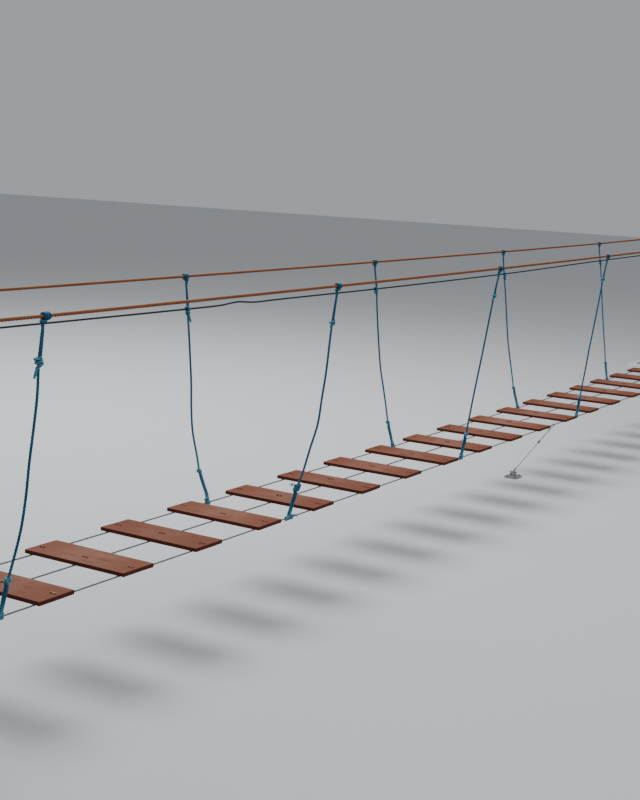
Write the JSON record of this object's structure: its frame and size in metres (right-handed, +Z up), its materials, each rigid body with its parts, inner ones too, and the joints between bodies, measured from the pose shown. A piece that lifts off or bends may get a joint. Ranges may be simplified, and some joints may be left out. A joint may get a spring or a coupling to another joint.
{
  "type": "rope suspension footbridge",
  "caption": "Plank footbridge hung on wire cables, with rope handrails on hitched rope hangers, a wire safety line, a wind stay and a steel anchor frame at each end.",
  "frame": {"origin": "centre of the underside of the start frame's base plate, on the bridge's centre line", "axes": "+X along the bridge from the start frame to the end frame, +Y to the left of a walker going that way, +Z up"},
  "size_m": [12.8, 1.3, 1.778],
  "materials": {
    "frame_steel": "hot-dip galvanised, dull spangle, weathered at the welds",
    "plank_wood": "red-brown exterior paint on sawn boards, worn dusty in the middle",
    "wire_rope": "galvanised wire rope, dull grey",
    "hand_rope": "orange laid polypropylene rope, faded on top",
    "hanger_rope": "blue laid polypropylene rope, faded on the crowns"
  },
  "bodies": {
    "root": {"start_anchor_frame": "frame_steel", "end_anchor_frame": "frame_steel", "plank_01": "plank_wood", "plank_02": "plank_wood", "plank_03": "plank_wood", "plank_04": "plank_wood", "plank_05": "plank_wood", "plank_06": "plank_wood", "plank_07": "plank_wood", "plank_08": "plank_wood", "plank_09": "plank_wood", "plank_10": "plank_wood", "plank_11": "plank_wood", "plank_12": "plank_wood", "plank_13": "plank_wood", "plank_14": "plank_wood", "plank_15": "plank_wood", "plank_16": "plank_wood", "plank_17": "plank_wood", "plank_18": "plank_wood", "plank_19": "plank_wood", "plank_20": "plank_wood", "plank_21": "plank_wood", "plank_22": "plank_wood", "plank_23": "plank_wood", "plank_24": "plank_wood", "deck_cable_right": "wire_rope", "deck_cable_middle": "wire_rope", "deck_cable_left": "wire_rope", "safety_cable_left": "wire_rope", "wind_stay": "wire_rope", "stay_anchor": "frame_steel", "hand_rope_right": "hand_rope", "hand_rope_left": "hand_rope", "hanger_right_1": "hanger_rope", "hanger_right_2": "hanger_rope", "hanger_right_3": "hanger_rope", "hanger_right_4": "hanger_rope", "hanger_right_5": "hanger_rope", "hanger_left_1": "hanger_rope", "hanger_left_2": "hanger_rope", "hanger_left_3": "hanger_rope", "hanger_left_4": "hanger_rope", "hanger_left_5": "hanger_rope"}
  },
  "joints": []
}
